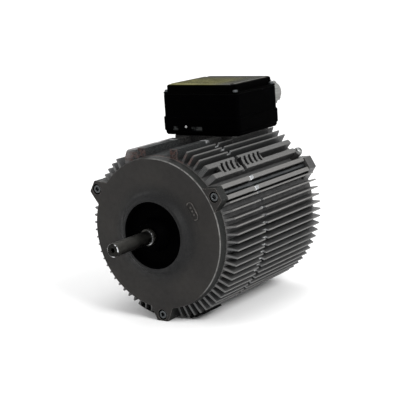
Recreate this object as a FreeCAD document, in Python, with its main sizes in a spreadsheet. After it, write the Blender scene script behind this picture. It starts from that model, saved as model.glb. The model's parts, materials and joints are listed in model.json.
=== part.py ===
"""Three-phase induction motor with a finned body, held by its rear face, with a terminal box on top.

Axes: the shaft lies along Y and points to -Y, +Z is up. The origin is the centre of the rear mounting
face, where the mounting screws pull the motor against its bracket. Lengths are millimetres.

Most pieces are turned. Their outlines are lists of (station, radius): a station is the distance
behind the front endshield's face, measured along the shaft.
"""
import FreeCAD, Part
import Sketcher
import math
import os

VECTOR = FreeCAD.Vector

# Driving dimensions: alias, value.
DIMENSIONS = [
    ("front_y", -216.0),          # front face of the front endshield, seen from the rear mounting face
    ("face_radius", 90.0),        # both endshields
    ("rim", 11.0),                # thickness of the front endshield's rim
    ("lug", 13.5),                # thickness of a front lug
    ("lug_radius", 105.5),        # from the shaft's axis to the flat top of a lug
    ("lug_half_top", 7.8),
    ("lug_half_foot", 16.0),
    ("bolt_circle", 98.0),        # radius on which the three tie bolts lie
    ("bolt", 3.0),                # M6 tie bolt, radius
    ("bolt_head", 5.0),
    ("counterbore", 6.5),
    ("counterbore_depth", 8.2),
    ("hub", 40.2),                # radius of the recess round the shaft
    ("hub_height", 8.0),          # how far the hub stands out of the front face
    ("root", 91.0),               # radius of the frame between its fins
    ("tip", 105.0),               # radius over the fins
    ("fin_half_root", 1.5),
    ("fin_half_tip", 0.95),
    ("fin_pitch", 5.143),         # degrees between two fins
    ("fin_back", 204.5),          # station of the fins' rear ends
    ("bore", 82.5),               # stator bore of the frame
    ("register", 84.0),           # radius on which the endshields are centred in the frame
    ("joint_back", 193.5),        # station where the frame meets the rear endshield
    ("band_station", 73.0),       # groove for a clamping band, cut round all fins
    ("band_width", 7.0),
    ("band_floor", 100.5),
    ("rib_half", 3.2),            # thick ribs on the right side
    ("rail_inner", 18.5),         # two rails in front of the terminal box
    ("rail_outer", 28.0),
    ("pad_top", 99.0),            # top of the pad that carries the terminal box
    ("pad_half", 42.0),
    ("pad_front", 108.0),
    ("pad_back", 192.0),
    ("pad_screw", 2.0),           # radius of the four screws through the floor of the terminal box
    ("duct_half", 22.0),          # cable duct from the windings into the terminal box
    ("duct_front", 150.0),
    ("duct_back", 178.0),
    ("core_front", 62.0),         # laminated cores of stator and rotor
    ("core_back", 152.0),
    ("airgap_radius", 52.5),      # bore of the stator core
    ("airgap", 0.35),
    ("end_turn_inner", 56.0),
    ("end_turn_outer", 72.0),
    ("end_turn", 21.0),           # how far the end turns stand out of the core
    ("shaft", 8.0),               # radius of the shaft extension
    ("shaft_tip", -82.0),         # station of the shaft's free end
    ("shoulder", -18.0),          # station where the extension ends
    ("journal", 10.0),            # radius of the shaft in its bearings
    ("rotor_seat", 16.0),         # radius of the shaft in the rotor core
    ("bearing_outer", 23.5),      # 6204: 20 x 47 x 14
    ("bearing_width", 14.0),
    ("bearing_front", 12.0),
    ("bearing_back", 189.0),
    ("ball", 3.97),
    ("ball_circle", 16.75),
    ("box_half", 55.0),           # terminal box
    ("box_front", 104.5),
    ("box_back", 196.3),
    ("box_floor", 100.0),
    ("box_rim", 150.0),
    ("box_wall", 3.0),
    ("lid_flange", 153.0),
    ("lid_top", 162.7),
    ("lid_inset", 6.5),
    ("lid_screw", 1.5),
    ("lid_screw_inset", 4.7),     # from the sides of the box
    ("entry_x", 32.0),            # cable entries in the rear wall of the box
    ("entry_z", 139.0),
    ("entry", 10.0),              # M20
    ("cable", 5.0),
    ("mount_circle", 57.5),       # radius of the four M6 holes in the rear face
    ("mount_screw", 3.0),
    ("mount_depth", 8.0),
    ("earth_seat", 102.5),        # radius at which the boss of the earth screw ends
    ("earth_screw", 2.5),
]

FIN_RUNS = [                      # degrees of the first fin and how many follow it clockwise
    ("right_fins", 22.8, 21),
    ("left_fins", 157.2 + 5.143 * 20, 21),
    ("upper_right_fins", 66.6, 3),
    ("upper_left_fins", 142.2, 4),
]
LUG_ANGLES = (30, 150, 270)
THICK_RIBS = (                    # angle and rear end; the lower one ends short of the earth screw
    (49.7, "dim.joint_back + 6"),
    (42.0, "dim.joint_back"),
)
EARTH_ANGLE = 40.5                # of the earth screw, which points out of the rear endshield's rim
EARTH_STATION = 202.0

doc = FreeCAD.newDocument("electric_motor")
sheet = doc.addObject("Spreadsheet::Sheet", "dim")
for row, (alias, value) in enumerate(DIMENSIONS, 1):
    sheet.set(f"A{row}", alias.replace("_", " "))
    sheet.set(f"B{row}", str(value))
    sheet.setAlias(f"B{row}", alias)
doc.recompute()

SUBPARTS = []


# ---------------------------------------------------------------- helpers

def size(alias):
    """Value of a cell, for the few shapes that the sheet can't drive directly."""
    return float(sheet.get(alias))


def along(station):
    """Y of a station."""
    return f"dim.front_y + ({station})"


def new_body(label, several=False):
    """Empty body. One that holds several identical pieces may be made of separate solids."""
    body = doc.addObject("PartDesign::Body", label)
    body.Label = label
    body.AllowCompound = several
    return body


def origin_item(body, role):
    return next(item for item in body.Origin.OriginFeatures if item.Role == role)


def sketch_on(body, plane, offset="0"):
    """Sketch on an origin plane, moved along the plane's normal by the offset."""
    sketch = body.newObject("Sketcher::SketchObject", "sketch")
    sketch.AttachmentSupport = (origin_item(body, plane), [""])
    sketch.MapMode = "FlatFace"
    sketch.setExpression("AttachmentOffset.Base.z", offset)
    return sketch


def cross_sketch(body, station):
    """Sketch square to the shaft; its x is X and its y is Z. The plane's normal points to -Y."""
    return sketch_on(body, "XZ_Plane", f"-({along(station)})")


def radial_sketch(body, angle, radius):
    """Sketch square to a radius of the frame, which it meets at an angle from +X towards +Z."""
    tilt = math.radians(90 - angle)
    sketch = sketch_on(body, "XY_Plane")
    shift = VECTOR(radius * math.sin(tilt), 0, radius * math.cos(tilt))
    sketch.AttachmentOffset = FreeCAD.Placement(shift, FreeCAD.Rotation(VECTOR(0, 1, 0), 90 - angle))
    sketch.setExpression("AttachmentOffset.Base.z", f"{radius} * sin({angle} deg)")
    return sketch


def outline(sketch, corners):
    """Closed outline of straight edges. Each corner is a pair of expressions."""
    first = sketch.GeometryCount
    count = len(corners)
    turn = 2 * math.pi / count
    for index in range(count):
        start = VECTOR(math.cos(turn * index), math.sin(turn * index), 0)
        end = VECTOR(math.cos(turn * (index + 1)), math.sin(turn * (index + 1)), 0)
        sketch.addGeometry(Part.LineSegment(start, end))
    for index in range(count):
        following = first + (index + 1) % count
        sketch.addConstraint(Sketcher.Constraint("Coincident", first + index, 2, following, 1))
    for index, corner in enumerate(corners):
        for kind, value in zip(("DistanceX", "DistanceY"), corner):
            number = sketch.addConstraint(Sketcher.Constraint(kind, -1, 1, first + index, 1, 1.0))
            sketch.setExpression(f"Constraints[{number}]", str(value))


def circle(sketch, across, up, radius):
    """Circle at (across, up) of the sketch; all three are expressions."""
    number = sketch.addGeometry(Part.Circle(VECTOR(1, 1, 0), VECTOR(0, 0, 1), 1))
    for kind, value in (("DistanceX", across), ("DistanceY", up)):
        place = sketch.addConstraint(Sketcher.Constraint(kind, -1, 1, number, 3, 1.0))
        sketch.setExpression(f"Constraints[{place}]", str(value))
    wide = sketch.addConstraint(Sketcher.Constraint("Radius", number, 1.0))
    sketch.setExpression(f"Constraints[{wide}]", str(radius))


def box_outline(sketch, left, right, low, high):
    outline(sketch, [(left, low), (right, low), (right, high), (left, high)])


def feature(body, kind, sketch):
    item = body.newObject(kind, "feature")
    item.Profile = sketch
    return item


def pad(body, sketch, length, to_rear=True):
    """Solid from a sketch, against its plane's normal: to the rear from a cross sketch."""
    item = feature(body, "PartDesign::Pad", sketch)
    item.setExpression("Length", str(length))
    item.Reversed = to_rear
    return item


def rise(body, sketch, length):
    """Solid from a sketch along its plane's normal: up from a level one, outward from a radial one."""
    return pad(body, sketch, length, to_rear=False)


def pocket(body, sketch, depth, to_rear=True):
    """Cut against the plane's normal: to the rear from a cross sketch, down from a level one."""
    item = feature(body, "PartDesign::Pocket", sketch)
    item.setExpression("Length", str(depth))
    item.Reversed = not to_rear
    return item


def revolve(body, corners, kind="PartDesign::Revolution"):
    """Turned solid or groove about the shaft's axis, from corners of (station, radius)."""
    sketch = sketch_on(body, "YZ_Plane")
    outline(sketch, [(along(station), radius) for station, radius in corners])
    item = feature(body, kind, sketch)
    item.ReferenceAxis = (sketch, ["H_Axis"])
    item.Angle = 360
    return item


def groove(body, corners):
    return revolve(body, corners, "PartDesign::Groove")


def around(body, originals, count, angle=360):
    """Polar pattern about the shaft's axis, which positive angles follow from +Z to +X."""
    doc.recompute()
    item = body.newObject("PartDesign::PolarPattern", "pattern")
    item.Originals = originals
    item.Axis = (origin_item(body, "Y_Axis"), [""])
    item.Occurrences = count
    item.Angle = angle
    body.Tip = item
    return item


def in_line(body, originals, axis, count, length):
    """Linear pattern along an origin axis."""
    doc.recompute()
    item = body.newObject("PartDesign::LinearPattern", "pattern")
    item.Originals = originals
    item.Direction = (origin_item(body, axis), [""])
    item.Occurrences = count
    item.setExpression("Length", str(length))
    body.Tip = item
    return item


def dress(body, kind, amount, test):
    """Fillet or chamfer on every edge of the body's tip that passes the test."""
    doc.recompute()
    base = body.Tip
    names = [f"Edge{n}" for n, edge in enumerate(base.Shape.Edges, 1) if test(edge)]
    if not names:
        raise RuntimeError(f"no edges to dress on {body.Label}")
    item = body.newObject(kind, "edges")
    item.Base = (base, names)
    property_name = "Radius" if kind.endswith("Fillet") else "Size"
    item.setExpression(property_name, str(amount))
    body.Tip = item
    return item


def fillet(body, radius, test):
    return dress(body, "PartDesign::Fillet", radius, test)


def is_circle(edge, station, radius):
    """True for a circle about the shaft's axis at that station with that radius."""
    if not isinstance(edge.Curve, Part.Circle):
        return False
    centre = edge.Curve.Center
    on_axis = math.hypot(centre.x, centre.z) < 0.01
    at_station = abs(centre.y - size("front_y") - station) < 0.01
    return on_axis and at_station and abs(edge.Curve.Radius - radius) < 0.01


def direction(edge):
    """Letter of the axis that a straight edge is parallel to, or None."""
    if not isinstance(edge.Curve, Part.Line):
        return None
    run = edge.Vertexes[-1].Point - edge.Vertexes[0].Point
    for letter, part in zip("XYZ", (run.x, run.y, run.z)):
        if abs(abs(part) - run.Length) < 1e-4:
            return letter
    return None


def keep(item, label=None):
    """Put a finished sub-part on the list that is exported."""
    if label:
        item.Label = label
    SUBPARTS.append(item)
    return item


def turned(label, corners):
    body = new_body(label)
    revolve(body, corners)
    return keep(body)


def turned_piece(label, corners):
    """Turned body about Y with its own stations from 0; it is only a pattern for copies."""
    body = new_body(label)
    sketch = sketch_on(body, "YZ_Plane")
    outline(sketch, corners)
    item = feature(body, "PartDesign::Revolution", sketch)
    item.ReferenceAxis = (sketch, ["H_Axis"])
    item.Angle = 360
    return body


def hexagon(sketch, across_flats, across="0", up="0"):
    """Hexagon round a point, with two corners on the sketch's x direction."""
    corners = []
    for side in range(6):
        corners.append((f"{across} + {across_flats} / sqrt(3) * cos({60 * side} deg)",
                        f"{up} + {across_flats} / sqrt(3) * sin({60 * side} deg)"))
    outline(sketch, corners)


def copies(label, original, places):
    """One sub-part of several identical solids. A place is (x, y, z, rotation), x to z expressions."""
    links = []
    for x, y, z, rotation in places:
        link = doc.addObject("App::Link", "copy")
        link.LinkedObject = original
        link.LinkTransform = False
        link.Placement = FreeCAD.Placement(VECTOR(0, 0, 0), rotation)
        for axis, value in zip("xyz", (x, y, z)):
            link.setExpression(f"Placement.Base.{axis}", str(value))
        links.append(link)
    group = doc.addObject("Part::Compound", label)
    group.Links = links
    return keep(group, label)


STRAIGHT = FreeCAD.Rotation()
UPRIGHT = FreeCAD.Rotation(VECTOR(1, 0, 0), 90)        # own +Y becomes +Z
DOWNWARD = FreeCAD.Rotation(VECTOR(1, 0, 0), -90)      # own +Y becomes -Z


def ring_places(radius, station, angles):
    """Places round the shaft's axis, for pieces that lie along Y."""
    places = []
    for angle in angles:
        across = f"{radius} * cos({angle} deg)"
        up = f"{radius} * sin({angle} deg)"
        places.append((across, along(station), up, STRAIGHT))
    return places


# ---------------------------------------------------------------- frame

def lug_outline(body, front, gap):
    """Outline of the lug that points down, wider by a gap all round."""
    sketch = cross_sketch(body, front)
    outline(sketch, [
        (f"-(dim.lug_half_top + {gap})", f"-(dim.lug_radius + {gap})"),
        (f"dim.lug_half_top + {gap}", f"-(dim.lug_radius + {gap})"),
        (f"dim.lug_half_foot + {gap}", "-(dim.face_radius - 3)"),
        (f"-(dim.lug_half_foot + {gap})", "-(dim.face_radius - 3)"),
    ])
    return sketch


def add_lugs(body, front, thickness):
    """Three lugs for the tie bolts, the first one pointing down."""
    lug = pad(body, lug_outline(body, front, 0), thickness)
    around(body, [lug], 3)
    reach = size("lug_radius") - 1.0

    def outer_corner(edge):
        middle = edge.CenterOfMass
        return direction(edge) == "Y" and math.hypot(middle.x, middle.z) > reach
    fillet(body, 1.6, outer_corner)


def add_holes(body, front, radius, depth):
    """Round holes on the tie-bolt circle, cut to the rear from a station."""
    sketch = cross_sketch(body, front)
    circle(sketch, "0", "-dim.bolt_circle", radius)
    hole = pocket(body, sketch, depth)
    around(body, [hole], 3)


def add_fins(body):
    """Radial fins with a little draft. Their front ends slope back from the rim."""
    for name, first, count in FIN_RUNS:
        sketch = cross_sketch(body, "dim.rim")
        sketch.setExpression("AttachmentOffset.Rotation.Angle", f"{first}")
        sketch.Label = name
        outline(sketch, [
            ("dim.root - 1", "-dim.fin_half_root"),
            ("dim.tip - 0.4", "-dim.fin_half_tip"),
            ("dim.tip", "-(dim.fin_half_tip - 0.4)"),
            ("dim.tip", "dim.fin_half_tip - 0.4"),
            ("dim.tip - 0.4", "dim.fin_half_tip"),
            ("dim.root - 1", "dim.fin_half_root"),
        ])
        fin = pad(body, sketch, "dim.fin_back - dim.rim")
        around(body, [fin], count, size("fin_pitch") * (count - 1))


def add_rib(body, angle, back):
    """Thick rib along the frame at an angle from +X towards +Z."""
    sketch = cross_sketch(body, "dim.rim")
    sketch.setExpression("AttachmentOffset.Rotation.Angle", f"{angle}")
    outline(sketch, [
        ("dim.root - 1", "-dim.rib_half"),
        ("dim.tip - 0.8", "-dim.rib_half"),
        ("dim.tip", "-(dim.rib_half - 0.8)"),
        ("dim.tip", "dim.rib_half - 0.8"),
        ("dim.tip - 0.8", "dim.rib_half"),
        ("dim.root - 1", "dim.rib_half"),
    ])
    pad(body, sketch, f"{back} - dim.rim")


def add_channel_ribs(body):
    """A rib on each side of every tie bolt, so that the bolt lies in a channel."""
    gap, width, bevel = 4.1, 5.2, 0.8
    for angle in LUG_ANGLES:
        for side in (-1, 1):
            sketch = cross_sketch(body, "dim.lug")
            sketch.setExpression("AttachmentOffset.Rotation.Angle", f"{angle}")
            inner = side * gap
            outer = side * (gap + width)
            outline(sketch, [
                ("dim.root - 2", inner),
                ("dim.tip - 1", inner),
                ("dim.tip - 0.3", inner + side * bevel),
                ("dim.tip - 0.3", outer - side * bevel),
                ("dim.tip - 1", outer),
                ("dim.root - 2", outer),
            ])
            pad(body, sketch, "dim.joint_back + 5 - dim.lug")


def add_relief(body):
    """Web between the two thick ribs, with a row of slanted slots cut through it and into the ribs."""
    angle = (THICK_RIBS[0][0] + THICK_RIBS[1][0]) / 2
    first, slots, pitch, width, lean, half = 35.0, 9, 9.8, 5.0, 6.0, 6.6
    web = radial_sketch(body, angle, 98.5)
    box_outline(web, "-4.2", "4.2", along(first - 1), along(first + slots * pitch))
    rise(body, web, "5.4")
    cut = radial_sketch(body, angle, 105.5)
    outline(cut, [
        (f"-{half}", along(first + lean)), (f"-{half}", along(first + lean + width)),
        (half, along(first + width)), (half, along(first)),
    ])
    slot = pocket(body, cut, "7.5")
    in_line(body, [slot], "Y_Axis", slots, pitch * (slots - 1))


def frame_fins():
    """Everything that stands radially on the barrel, cut to its front slope and its band groove."""
    body = new_body("frame_fins", several=True)
    add_fins(body)
    for angle, back in THICK_RIBS:
        add_rib(body, angle, back)
    add_channel_ribs(body)
    add_relief(body)
    for station, depth in (("dim.rim", "dim.lug - dim.rim"), ("199.5", "dim.fin_back - 199")):
        room = pocket(body, lug_outline(body, station, 0.3), depth)
        around(body, [room], 3)
    groove(body, [
        ("dim.rim - 1", "dim.root - 2"), ("dim.rim", "dim.root"), ("dim.rim + 3.9", "dim.tip"),
        ("dim.rim + 3.9", "dim.tip + 1"), ("dim.rim - 1", "dim.tip + 1"),
    ])
    groove(body, [
        ("dim.joint_back", "dim.register"), ("dim.joint_back", "dim.root + 0.4"),
        ("dim.fin_back + 1", "dim.root + 0.4"), ("dim.fin_back + 1", "dim.register"),
    ])
    groove(body, [
        ("dim.band_station", "dim.band_floor"), ("dim.band_station", "dim.tip + 1"),
        ("dim.band_station + dim.band_width", "dim.tip + 1"),
        ("dim.band_station + dim.band_width", "dim.band_floor"),
    ])
    return body


def pad_screw_places(height):
    """Places of the four screws that hold the terminal box on its pad."""
    places = []
    for across in ("-34", "34"):
        for station in ("dim.pad_front + 8", "dim.pad_back - 8"):
            places.append((across, along(station), height, UPRIGHT))
    return places


def pad_screw_holes(body, height, radius, depth):
    sketch = sketch_on(body, "XY_Plane", height)
    for across, station, _, _ in pad_screw_places(height):
        circle(sketch, across, station, radius)
    pocket(body, sketch, depth)


def frame_barrel():
    """Barrel with the pad and rails under the terminal box, and the slab beside the left rail."""
    body = new_body("frame_barrel")
    revolve(body, [
        ("dim.rim", "dim.register + 0.05"), ("dim.rim", "dim.root"),
        ("dim.joint_back", "dim.root"), ("dim.joint_back", "dim.register + 0.05"),
        ("dim.joint_back - 5.2", "dim.register + 0.05"), ("dim.joint_back - 5.2", "dim.bore + 0.02"),
        ("dim.rim + 5.2", "dim.bore + 0.02"), ("dim.rim + 5.2", "dim.register + 0.05"),
    ])
    for left, right in (("dim.rail_inner", "dim.rail_outer"), ("-dim.rail_outer", "-dim.rail_inner")):
        sketch = cross_sketch(body, "dim.rim + 2")
        box_outline(sketch, left, right, "dim.bore + 4", "dim.pad_top")
        pad(body, sketch, "dim.pad_front - dim.rim - 1")
    sketch = sketch_on(body, "YZ_Plane", "-47.5")
    slab_back = along("dim.pad_front + 1")
    outline(sketch, [
        (along("dim.rim + 1"), "80"), (along("dim.rim + 1"), "87"), (along("dim.rim + 5"), "94"),
        (along("dim.rim + 8"), "95.5"), (slab_back, "95.5"), (slab_back, "80"),
    ])
    rise(body, sketch, "21")
    sketch = cross_sketch(body, "dim.pad_front")
    outline(sketch, [
        ("-dim.pad_half", "80"), ("-20", "dim.bore + 4"), ("20", "dim.bore + 4"), ("dim.pad_half", "80"),
        ("dim.pad_half", "dim.pad_top"), ("-dim.pad_half", "dim.pad_top"),
    ])
    pad(body, sketch, "dim.pad_back - dim.pad_front")
    sketch = sketch_on(body, "XY_Plane", "dim.pad_top")
    box_outline(sketch, "-dim.duct_half", "dim.duct_half", along("dim.duct_front"), along("dim.duct_back"))
    pocket(body, sketch, "32")
    pad_screw_holes(body, "dim.pad_top", "dim.pad_screw", "9")
    return body


def finned_frame():
    barrel = frame_barrel()
    fins = frame_fins()
    whole = doc.addObject("Part::Fuse", "finned_frame")
    whole.Base = barrel
    whole.Tool = fins
    return keep(whole, "finned_frame")


# ---------------------------------------------------------------- endshields

def front_endshield():
    body = new_body("front_endshield")
    revolve(body, [
        ("2", "dim.hub"), ("-dim.hub_height", "dim.hub"), ("-dim.hub_height", "dim.hub + 3.2"),
        ("-1.4", "dim.hub + 10"), ("0", "dim.hub + 19"), ("0", "dim.face_radius"), ("dim.rim", "dim.root"),
        ("dim.rim", "dim.register"), ("12.2", "dim.register"), ("12.2", "dim.register - 1.8"),
        ("14.6", "dim.register - 1.8"), ("14.6", "dim.register"), ("16", "dim.register"),
        ("16", "dim.register - 5"), ("8", "dim.register - 5"), ("8", "50"), ("9", "34"), ("30", "30"),
        ("30", "dim.bearing_outer"), ("27.4", "dim.bearing_outer"), ("27.4", "dim.bearing_outer + 1.4"),
        ("dim.bearing_front + dim.bearing_width", "dim.bearing_outer + 1.4"),
        ("dim.bearing_front + dim.bearing_width", "dim.bearing_outer"),
        ("dim.bearing_front", "dim.bearing_outer"), ("dim.bearing_front", "15"), ("10", "15"),
        ("10", "17.5"), ("2", "17.5"),
    ])
    fillet(body, 30.0, lambda edge: is_circle(edge, 0, size("hub") + 19))
    fillet(body, 9.0, lambda edge: is_circle(edge, -1.4, size("hub") + 10))
    fillet(body, 1.6, lambda edge: is_circle(edge, -size("hub_height"), size("hub") + 3.2))
    fillet(body, 0.9, lambda edge: is_circle(edge, 0, size("face_radius")))
    add_lugs(body, "0", "dim.lug")
    groove(body, [
        ("dim.rim", "dim.register"), ("dim.rim", "dim.root + 0.1"),
        ("dim.lug + 1", "dim.root + 0.1"), ("dim.lug + 1", "dim.register"),
    ])
    add_holes(body, "0", "dim.counterbore", "dim.counterbore_depth")
    add_holes(body, "0", "dim.bolt + 0.3", "dim.lug + 1")
    add_cast_mark(body)
    return keep(body)


def add_cast_mark(body):
    """Raised oblong ring with a row of plain pips, as a foundry casts into a face."""
    middle_x, middle_z, tilt = 54.5, 31.0, -62.0
    half, radius, line, height = 6.5, 4.6, 0.9, 1.0
    run_x = math.cos(math.radians(tilt))
    run_z = math.sin(math.radians(tilt))

    def slot(sketch, wide):
        """Oblong of two half circles and two straight sides."""
        ends = []
        for sign in (1, -1):
            centre = VECTOR(middle_x + sign * half * run_x, middle_z + sign * half * run_z, 0)
            start = math.radians(tilt) - math.pi / 2 + (0 if sign > 0 else math.pi)
            whole = Part.Circle(centre, VECTOR(0, 0, 1), wide)
            arc = Part.ArcOfCircle(whole, start, start + math.pi)
            sketch.addGeometry(arc)
            ends.append((arc.StartPoint, arc.EndPoint))
        sketch.addGeometry(Part.LineSegment(ends[0][1], ends[1][0]))
        sketch.addGeometry(Part.LineSegment(ends[1][1], ends[0][0]))

    sketch = cross_sketch(body, "0.2")
    slot(sketch, radius)
    slot(sketch, radius - line)
    pad(body, sketch, height + 0.2, to_rear=False)
    sketch = cross_sketch(body, "0.2")
    for step in (-1, 0, 1):
        circle(sketch, middle_x + 4.5 * step * run_x, middle_z + 4.5 * step * run_z, "1.1")
    pad(body, sketch, height, to_rear=False)


def rear_endshield():
    body = new_body("rear_endshield")
    revolve(body, [
        ("dim.joint_back - 5", "dim.register"), ("190", "dim.register"), ("190", "dim.register - 1.8"),
        ("192.4", "dim.register - 1.8"), ("192.4", "dim.register"), ("dim.joint_back", "dim.register"),
        ("dim.joint_back", "dim.face_radius"), ("212", "dim.face_radius"), ("214", "dim.face_radius - 2"),
        ("214", "74"), ("216", "72"), ("216", "44"), ("214", "42"), ("214", "20"), ("205", "20"),
        ("205", "dim.bearing_outer"), ("187", "dim.bearing_outer"), ("187", "29"), ("206", "32"),
        ("206", "dim.register - 5"), ("dim.joint_back - 5", "dim.register - 5"),
    ])
    add_lugs(body, "200", "15.5")
    add_holes(body, "199", "dim.bolt + 0.02", "18")
    sketch = cross_sketch(body, "206.5")
    outline(sketch, [("-2", "32"), ("-2", "dim.register - 4"), ("2", "dim.register - 4"), ("2", "32")])
    rib = pad(body, sketch, "9.5", to_rear=False)
    around(body, [rib], 6)
    sketch = cross_sketch(body, "216")
    for angle in (45, 135, 225, 315):
        circle(sketch, f"dim.mount_circle * cos({angle} deg)", f"dim.mount_circle * sin({angle} deg)",
               "dim.mount_screw")
    pocket(body, sketch, "dim.mount_depth", to_rear=False)
    add_earth_boss(body)
    return keep(body)


def add_earth_boss(body):
    """Round boss on the rim, with a threaded hole for the earth screw."""
    sketch = radial_sketch(body, EARTH_ANGLE, 82)
    circle(sketch, "0", along(EARTH_STATION), "5.6")
    rise(body, sketch, "dim.earth_seat - 82")
    sketch = radial_sketch(body, EARTH_ANGLE, size("earth_seat"))
    circle(sketch, "0", along(EARTH_STATION), "dim.earth_screw + 0.02")
    pocket(body, sketch, "12.5")


# ---------------------------------------------------------------- shaft, rotor and stator

def shaft():
    return turned("shaft", [
        ("dim.shaft_tip + 17.4", "0"), ("dim.shaft_tip + 16", "2.5"), ("dim.shaft_tip + 0.8", "2.5"),
        ("dim.shaft_tip", "3.3"), ("dim.shaft_tip", "dim.shaft - 1"), ("dim.shaft_tip + 1", "dim.shaft"),
        ("dim.shoulder", "dim.shaft"), ("dim.shoulder", "dim.journal - 0.5"),
        ("dim.shoulder + 0.5", "dim.journal"),
        ("dim.bearing_front + dim.bearing_width", "dim.journal"),
        ("dim.bearing_front + dim.bearing_width", "13"), ("dim.core_front - 4", "13"),
        ("dim.core_front - 4", "dim.rotor_seat"), ("dim.core_back", "dim.rotor_seat"),
        ("dim.core_back", "14"), ("176", "14"), ("176", "13"), ("dim.bearing_back", "13"),
        ("dim.bearing_back", "dim.journal"), ("205", "dim.journal"), ("206", "dim.journal - 1"),
        ("206", "0"),
    ])


BARS = 28
SLOTS = 36


def rotor_core():
    body = new_body("rotor_core")
    rotor = "dim.airgap_radius - dim.airgap"
    revolve(body, [
        ("dim.core_front", "dim.rotor_seat"), ("dim.core_front", rotor),
        ("dim.core_back", rotor), ("dim.core_back", "dim.rotor_seat"),
    ])
    sketch = cross_sketch(body, "dim.core_front")
    circle(sketch, "0", "dim.airgap_radius - 5.5", "2.8")
    hole = pocket(body, sketch, "dim.core_back - dim.core_front")
    around(body, [hole], BARS)
    return keep(body)


def rotor_cage():
    """Bars and end rings cast in one piece, with blades on both rings that stir the air inside."""
    body = new_body("rotor_cage")
    revolve(body, [
        ("dim.core_front - 9", "36"), ("dim.core_front - 9", "50"), ("dim.core_front", "51"),
        ("dim.core_front", "35"),
    ])
    sketch = cross_sketch(body, "dim.core_front")
    circle(sketch, "0", "dim.airgap_radius - 5.5", "2.8")
    bar = pad(body, sketch, "dim.core_back - dim.core_front")
    around(body, [bar], BARS)
    revolve(body, [
        ("dim.core_back", "35"), ("dim.core_back", "51"), ("dim.core_back + 9", "50"),
        ("dim.core_back + 9", "36"),
    ])
    for station, to_rear in (("dim.core_front - 9", False), ("dim.core_back + 9", True)):
        sketch = cross_sketch(body, station)
        box_outline(sketch, "-1.3", "1.3", "37", "49")
        blade = pad(body, sketch, "7.5", to_rear=to_rear)
        around(body, [blade], 8)
    return keep(body)


def stator_core():
    body = new_body("stator_core")
    revolve(body, [
        ("dim.core_front", "dim.airgap_radius"), ("dim.core_front", "dim.bore"),
        ("dim.core_back", "dim.bore"), ("dim.core_back", "dim.airgap_radius"),
    ])
    sketch = cross_sketch(body, "dim.core_front")
    outline(sketch, [
        ("-1.3", "dim.airgap_radius - 1"), ("1.3", "dim.airgap_radius - 1"),
        ("1.3", "dim.airgap_radius + 1.2"), ("2.4", "dim.airgap_radius + 2.2"), ("3.6", "69.5"),
        ("-3.6", "69.5"), ("-2.4", "dim.airgap_radius + 2.2"), ("-1.3", "dim.airgap_radius + 1.2"),
    ])
    slot = pocket(body, sketch, "dim.core_back - dim.core_front")
    around(body, [slot], SLOTS)
    return keep(body)


def stator_winding():
    """Coil sides in the slots and the bound end turns at both ends."""
    body = new_body("stator_winding")
    end_turns(body, "dim.core_front", -1)
    sketch = cross_sketch(body, "dim.core_front - 4")
    outline(sketch, [("-2.3", "57"), ("2.3", "57"), ("3.3", "69.2"), ("-3.3", "69.2")])
    side = pad(body, sketch, "dim.core_back - dim.core_front + 8")
    around(body, [side], SLOTS)
    end_turns(body, "dim.core_back", 1)
    return keep(body)


def end_turns(body, core_end, away):
    """Ring of wires beside the core; away is 1 to the rear and -1 to the front."""
    near = f"{core_end} + {away} * 3"
    near_bevel = f"{core_end} + {away} * 6"
    far_bevel = f"{core_end} + {away} * (dim.end_turn - 4)"
    far = f"{core_end} + {away} * dim.end_turn"
    revolve(body, [
        (near, "dim.end_turn_inner + 2"), (near, "dim.end_turn_outer - 2"),
        (near_bevel, "dim.end_turn_outer"), (far_bevel, "dim.end_turn_outer"),
        (far, "dim.end_turn_outer - 4"), (far, "dim.end_turn_inner + 4"),
        (far_bevel, "dim.end_turn_inner"), (near_bevel, "dim.end_turn_inner"),
    ])


def slot_wedges():
    body = new_body("slot_wedges", several=True)
    sketch = cross_sketch(body, "dim.core_front")
    outline(sketch, [("-2.4", "dim.airgap_radius + 2.4"), ("2.4", "dim.airgap_radius + 2.4"),
                     ("2.5", "dim.airgap_radius + 3.6"), ("-2.5", "dim.airgap_radius + 3.6")])
    wedge = pad(body, sketch, "dim.core_back - dim.core_front")
    around(body, [wedge], SLOTS)
    return keep(body)


# ---------------------------------------------------------------- bearings and seals

def race_groove(body, middle):
    """Ball track: a ring of round section cut at the ball circle."""
    sketch = sketch_on(body, "YZ_Plane")
    circle(sketch, along(middle), "dim.ball_circle", "dim.ball + 0.03")
    item = feature(body, "PartDesign::Groove", sketch)
    item.ReferenceAxis = (sketch, ["H_Axis"])
    item.Angle = 360


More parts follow.
